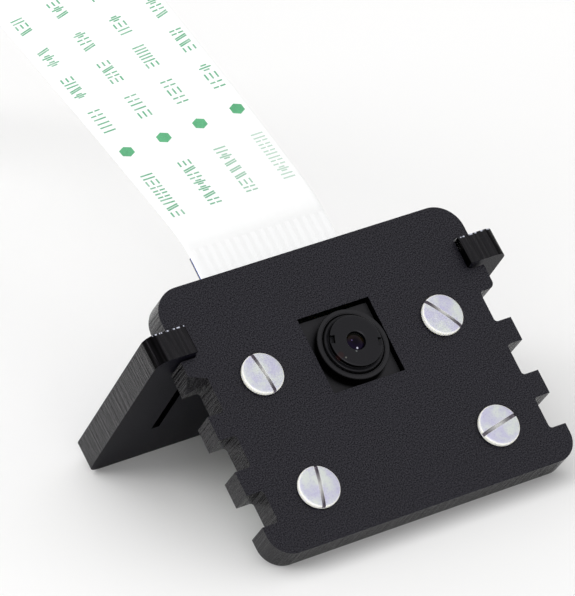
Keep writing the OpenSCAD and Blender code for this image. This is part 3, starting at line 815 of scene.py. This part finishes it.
for name, (material, bevel) in DRESS.items():
    node = nodes[name]
    if not node.material_slots:
        node.data.materials.append(material)
    for slot in node.material_slots:
        slot.material = material
    edge_bevel(node, bevel)
    sharpen(node.data, 30)


# ---------------------------------------------------------------- screws and nuts
# Each screw's name, its place on the plate and the turn of its slot in degrees
SCREWS = [
    ("top_left", -HOLE_DX / 2, 0.0, 98), ("top_right", HOLE_DX / 2, 0.0, 124),
    ("bottom_right", HOLE_DX / 2, -HOLE_DY, 12), ("bottom_left", -HOLE_DX / 2, -HOLE_DY, 75),
]
HEAD_RIM_Z = 0.76
DOME_R = 1.9
DOME_H = 0.14
SLOT_W = 0.36
SLOT_FLOOR = 0.40
SHANK_FOOT = -6.0
THREAD_PITCH = 0.4
THREAD_ROOT_R = 0.83
THREAD_DEPTH = 0.16
NUT_H = 1.2


def head_profile():
    """Half of a pan head's section, from its foot to the middle of its top."""
    made = [
        (0.0, 0.0), (1.86, 0.0), (2.04, 0.08), (2.13, 0.18), (2.15, 0.26), (2.15, 0.56),
        (2.12, 0.65), (2.03, 0.72), (DOME_R, HEAD_RIM_Z),
    ]
    for k in range(1, 9):
        radius = DOME_R * (1 - k / 8)
        made.append((radius, HEAD_RIM_Z + DOME_H * (1 - (radius / DOME_R) ** 2)))
    return made


def make_screw_head(name, place):
    """A domed head with a straight slot, whose walls get their own material with painted light and shade.
    """
    bm = bmesh.new()
    add_lathe(bm, head_profile(), 96)
    head = add_piece(f"screw_{name}", bm, place, nylon, sharp=40)
    cutter = bmesh.new()
    add_box(cutter, (-3, -SLOT_W / 2, SLOT_FLOOR), (3, SLOT_W / 2, 3))
    head.parent = None
    cut_with(head, [tool_object("slot_cutter", cutter, place)])
    head.data.materials.append(nylon_slot_light_shade)
    back = place.inverted()
    for polygon in head.data.polygons:
        middle = back @ polygon.center
        if abs(middle.y) < SLOT_W / 2 + 0.01 and middle.z > SLOT_FLOOR - 0.02:
            polygon.material_index = 1
    edge_bevel(head, 0.05, 50)
    sharpen(head.data, 50)
    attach(head, "stand")
    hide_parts("nylon_screws")


def make_screw_thread(name, place):
    """The shank with its thread, which is chamfered at the tip."""
    bm = bmesh.new()
    steps, tip = 36, 0.02
    count = int(-SHANK_FOOT / THREAD_PITCH * 12)
    rings = []
    for k in range(count + 1):
        z = SHANK_FOOT + tip + (-SHANK_FOOT - tip) * k / count

        def radius_at(i):
            turn = (z / THREAD_PITCH - i / steps) % 1.0
            radius = THREAD_ROOT_R + THREAD_DEPTH * abs(2 * turn - 1)
            return min(radius, 0.75 + z - SHANK_FOOT)

        rings.append(add_ring(bm, steps, z, radius_at))
    for low, high in zip(rings, rings[1:]):
        bridge(bm, low, high)
    bm.faces.new(rings[0][::-1])
    bm.faces.new(rings[-1])
    thread = add_piece(f"screw_thread_{name}", bm, place, nylon, sharp=60)
    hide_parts("nylon_screws")


def make_nut(name, x, y):
    """A thin six-sided nut with rounded corners and a countersunk hole."""
    place = PLATE_MM @ Matrix.Translation((x, y, BOARD_BACK_Z - NUT_H))
    low_part = [0.0, 0.05, 0.10, 0.15, 0.20]
    heights = low_part + [NUT_H - height for height in low_part[::-1]]
    bore = [(1.35, NUT_H), (1.02, 0.95), (1.02, 0.28), (1.35, 0.0)]
    steps, corner_h = 96, 0.22
    bm = bmesh.new()
    rings = []
    for height in heights:
        limit = 1.95 + 0.4 * min(height, NUT_H - height, corner_h) / corner_h

        def radius_at(i):
            turn = 2 * math.pi * i / steps % (math.pi / 3)
            return min(2.0 / math.cos(turn - math.pi / 6), limit)

        rings.append(add_ring(bm, steps, height, radius_at))
    for radius, height in bore:
        rings.append(add_ring(bm, steps, height, lambda i: radius))
    for low, high in zip(rings, rings[1:] + rings[:1]):
        bridge(bm, low, high)
    nut = add_piece(f"nut_{name}", bm, place, nylon, sharp=20)
    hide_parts("nylon_nuts")


for name, x, y, angle in SCREWS:
    place = PLATE_MM @ Matrix.Translation((x, y, 0)) @ Matrix.Rotation(math.radians(angle), 4, "Z")
    make_screw_head(name, place)
    make_screw_thread(name, place)
    make_nut(name, x, y)


# ---------------------------------------------------------------- lens
SHANK_R = 3.14
SHANK_ROOT_R = 3.02
BORE_R = 2.2
BARREL_BACK_Z = -2.0
GROOVE_FROM = -1.9
GROOVE_PITCH = 0.4
SPANNER_TURN = math.radians(-20)
SPANNER_X = 2.25
SPANNER_HALF_W = 0.42
SPANNER_FLOOR = 0.95
GLASS_R = 0.90


def make_barrel():
    """The barrel: a threaded shank, a head with two notches and a round mouth."""
    bm = bmesh.new()
    profile = [(BORE_R, BARREL_BACK_Z), (SHANK_R, BARREL_BACK_Z), (SHANK_R, GROOVE_FROM)]
    for k in range(6):
        z = GROOVE_FROM + GROOVE_PITCH * k
        profile += [(SHANK_ROOT_R, z + GROOVE_PITCH / 2), (SHANK_R, z + GROOVE_PITCH)]
    profile += [
        (SHANK_R, 0.46), (3.10, 0.60), (3.02, 0.70), (2.94, 0.72), (2.84, 0.71), (2.64, 0.66),
        (2.62, 0.70), (2.62, 0.98), (2.72, 1.0), (2.75, 1.03), (2.75, 1.20), (2.72, 1.27),
        (2.64, 1.32), (2.5, 1.35), (2.2, 1.345), (1.12, 1.32), (1.0, 1.25), (0.93, 1.12),
        (0.92, 0.96), (0.6, 0.9), (0.6, 0.4), (BORE_R, 0.4), (BORE_R, BARREL_BACK_Z),
    ]
    add_lathe(bm, profile, 128)
    weld(bm)
    barrel = add_piece("lens_barrel_detail", bm, PLATE_MM, barrel_black, "barrel", 28)
    barrel.parent = None
    turned = PLATE_MM @ Matrix.Rotation(SPANNER_TURN, 4, "Z")
    cutters = []
    for low, high in ((-4.0, -SPANNER_X), (SPANNER_X, 4.0)):
        cutter = bmesh.new()
        add_box(cutter, (low, -SPANNER_HALF_W, SPANNER_FLOOR), (high, SPANNER_HALF_W, 3.0))
        cutters.append(tool_object("notch_cutter", cutter, turned))
    cut_with(barrel, cutters)
    edge_bevel(barrel, 0.03, 32)
    sharpen(barrel.data, 28)
    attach(barrel, "barrel")
    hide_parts("lens_barrel")


def make_holder():
    """The collar round the barrel, with a rounded rim."""
    bm = bmesh.new()
    low, top = HOUSING_TOP_Z, HOLDER_TOP_Z
    profile = [
        (3.22, low), (3.5, low), (3.74, top - 0.3), (3.77, top - 0.24), (3.77, top - 0.08),
        (3.72, top), (3.36, top), (3.32, top - 0.03), (3.26, top - 0.03), (3.22, top - 0.08),
        (3.22, low),
    ]
    add_lathe(bm, profile, 128)
    weld(bm)
    holder = add_piece("lens_holder_detail", bm, PLATE_MM, module_black, "stand", 28)
    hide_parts("lens_holder")


def make_front_glass():
    """The curved front of the first lens, seen through the mouth of the barrel."""
    bm = bmesh.new()
    profile = [(0.0, 0.97), (GLASS_R, 0.97)]
    for k in range(1, 13):
        radius = GLASS_R * (1 - k / 12)
        profile.append((radius, 0.98 + 0.15 * (1 - (radius / GLASS_R) ** 2)))
    add_lathe(bm, profile, 48)
    add_piece("front_glass", bm, PLATE_MM, front_glass, "barrel", 60)


# Small reflections in the glass: place, radius and colour
GLINTS = [
    (-0.34, 0.24, 0.10, (0.07, 0.05, 0.13)),
    (-0.15, -0.68, 0.12, (0.6, 0.6, 0.7)),
]


def coated_shader():
    """Dark coated glass with painted reflections: its colour turns from violet through black to brown
    across the mouth, darkest in the middle.
    """
    made = Shader("front_glass")
    place = made.place(PLATE_AT, LEAN)
    x, y, _ = made.split(place)
    r = made.distance(x, y)
    slant = made.maths("ADD", made.maths("MULTIPLY", x, 0.5), y)
    side = made.mix(made.span(slant, -0.25, 0.3), (0.003, 0.0015, 0.009), (0.009, 0.006, 0.0015))
    side = made.mix(made.span(slant, 0.5, 0.85), side, (0.006, 0.006, 0.005))
    tint = made.mix(made.span(r, 0.2, 0.62), (0.0006, 0.0006, 0.001), side)
    for at_x, at_y, radius, glint in GLINTS:
        away = made.distance(x, y, at_x, at_y)
        tint = made.mix(made.span(away, radius, 0.5 * radius), tint, glint)
    made.set(
        Base_Color=tint,
        Roughness=made.span(made.noise(place, 8.0), 0.3, 0.7, 0.05, 0.1),
        Specular_IOR_Level=0.12,
        Specular_Tint=(0.8, 0.6, 1.0),
    )
    return made.material


front_glass = coated_shader()
make_barrel()
make_holder()
make_front_glass()


# ---------------------------------------------------------------- board detail
REGULATOR_X = (-5.0, 0.0, 5.0)
REGULATOR_LEGS = ((-0.95, -0.85), (0.0, -0.85), (0.95, -0.85), (-0.95, 0.85), (0.95, 0.85))
CHIP_H = 1.0
PAD_RISE = 0.02
VIA_RISE = 0.015
INK_RISE = 0.012

# Soldered ends on the back: their centres, half sizes, height and rounding
SOLDER = [
    ([(x + dx, -1.6 + dy) for x in REGULATOR_X for dx, dy in REGULATOR_LEGS], (0.2, 0.3), 0.22, 0.08),
    ([(-6.0 + 1.5 * k, 1.0 + dy) for k in range(9) for dy in (-0.66, 0.66)], (0.43, 0.2), 0.84, 0.1),
    ([(-6.0 + 3.0 * k + dx, -4.4) for k in range(5) for dx in (-0.66, 0.66)], (0.2, 0.43), 0.84, 0.1),
    ([(-5.5 + k, -6.2 + dy) for k in range(12) for dy in (-0.42, 0.42)], (0.27, 0.14), 0.38, 0.05),
    ([(dx, -9.4 + dy) for dy in (-0.85, 0.85) for dx in (-1.1, 1.1)], (0.65, 0.5), 0.06, 0.02),
    ([(-7 + k, 2.95) for k in range(15)], (0.24, 0.4), 0.12, 0.05),
]

# Outlines on the back: the connector, the regulators and the rows of small parts
OUTLINES = [
    (-12.0, 2.35, 12.0, 9.0), *[(x - 1.85, -2.85, x + 1.85, -0.35) for x in REGULATOR_X],
    (-7.0, -0.05, 7.0, 2.15), (-7.2, -5.15, 7.2, -3.65), (-6.2, -7.0, 6.2, -5.4),
    (-2.1, -10.95, 2.1, -7.85),
]


def via_spots():
    """Random places for vias, clear of the screws, the parts and each other."""
    dice = random.Random(11)
    spots = []
    while len(spots) < 46:
        x, y = dice.uniform(-11.6, 11.6), dice.uniform(-13.8, 2.4)
        if any(math.hypot(x - sx, y - sy) < 2.9 for _, sx, sy, _ in SCREWS):
            continue
        if abs(x) < 7.2 and -12 < y < 2.4:
            continue
        if all(math.hypot(x - a, y - b) > 0.8 for a, b in spots):
            spots.append((x, y))
    return spots


def add_line(bm, x0, y0, x1, y1, low, width=0.14):
    """A printed line along X or Y, which rises from a height."""
    half = width / 2
    across, up = (0, half) if abs(x1 - x0) > abs(y1 - y0) else (half, 0)
    add_box(
        bm,
        (min(x0, x1) - across, min(y0, y1) - up, low),
        (max(x0, x1) + across, max(y0, y1) + up, low + INK_RISE),
    )


def add_outline(bm, x0, y0, x1, y1, low):
    """Four printed lines round a rectangle."""
    add_line(bm, x0, y0, x1, y0, low)
    add_line(bm, x0, y1, x1, y1, low)
    add_line(bm, x0, y0, x0, y1, low)
    add_line(bm, x1, y0, x1, y1, low)


def make_board_detail():
    """Pads, vias, solder and outlines on both sides of the board."""
    back, front = BOARD_BACK_Z, BOARD_FRONT_Z
    rings = bmesh.new()
    for _, x, y, _ in SCREWS:
        for low in (back - PAD_RISE, front):
            add_tube(rings, 1.12, 1.9, low, low + PAD_RISE, 48, (x, y))
    weld(rings)
    add_piece("board_ring_pads", rings, PLATE_MM, gold)

    vias = bmesh.new()
    for spot in via_spots():
        add_tube(vias, 0.12, 0.28, back - VIA_RISE, back, 16, spot)
    weld(vias)
    add_piece("board_vias", vias, PLATE_MM, tin)

    solder = bmesh.new()
    for centres, (half_x, half_y), height, bevel in SOLDER:
        for x, y in centres:
            low = (x - half_x, y - half_y, back - height)
            add_box(solder, low, (x + half_x, y + half_y, back), bevel)
    add_piece("board_solder", solder, PLATE_MM, tin, sharp=40)

    ink = bmesh.new()
    for corners in OUTLINES:
        add_outline(ink, *corners, back - INK_RISE)
    add_outline(ink, -4.4, -4.4, 4.4, 4.4, front)
    for x in (-8.6, 8.6):
        for k in range(5):
            y = -8.2 - 0.7 * k
            add_line(ink, x - 0.6, y, x + 0.6, y, back - INK_RISE, 0.3)
    add_piece("board_outlines", ink, PLATE_MM, silkscreen, sharp=30)

    dots = bmesh.new()
    high = back - CHIP_H
    low = high - INK_RISE
    for x in REGULATOR_X:
        add_lathe(dots, [(0.0, low), (0.16, low), (0.16, high), (0.0, high)], 20, (x - 1.05, -1.15))
    add_piece("chip_dots", dots, PLATE_MM, silkscreen, sharp=30)


make_board_detail()

# ---------------------------------------------------------------- floor and light
def floor_shader():
    """A matt white surface that varies a little."""
    made = Shader("floor_white")
    place = made.place(size=1.0)
    made.set(
        Base_Color=made.mix(made.noise(place, 6.0), (0.90, 0.895, 0.89), (0.92, 0.918, 0.915)),
        Roughness=made.span(made.noise(place, 40.0), 0.3, 0.7, 0.75, 0.85),
    )
    return made.material


def make_floor():
    bm = bmesh.new()
    bmesh.ops.create_grid(bm, x_segments=1, y_segments=1, size=6.0)
    mesh = bpy.data.meshes.new("floor")
    bm.to_mesh(mesh)
    bm.free()
    mesh.materials.append(floor_shader())
    floor = bpy.data.objects.new("floor", mesh)
    scene.collection.objects.link(floor)


LIGHT_AIM = Vector((0, 0, 0.01))
LIGHT_SIZE = 0.8


def add_light(name, at, watts):
    """A round soft light that the camera doesn't see."""
    data = bpy.data.lights.new(name, "AREA")
    data.shape = "DISK"
    data.size = LIGHT_SIZE
    data.energy = watts
    made = bpy.data.objects.new(name, data)
    scene.collection.objects.link(made)
    made.location = at
    made.rotation_euler = (LIGHT_AIM - Vector(at)).to_track_quat("-Z", "Y").to_euler()
    made.visible_camera = False


make_floor()
add_light("left", (-1.0, 0.45, 0.6), 3.9)
add_light("front", (-0.5, -1.0, 0.35), 5.7)
add_light("back", (0.3, 1.2, 0.55), 2.8)
add_light("above", (-0.5, 0.9, 0.9), 1.1)

world = bpy.data.worlds.new("studio")
scene.world = world
world.use_nodes = True
sky = world.node_tree
sky.nodes["Background"].inputs["Color"].default_value = (1.0, 1.0, 1.0, 1.0)
sky.nodes["Background"].inputs["Strength"].default_value = 0.8
scene.view_settings.view_transform = "Standard"
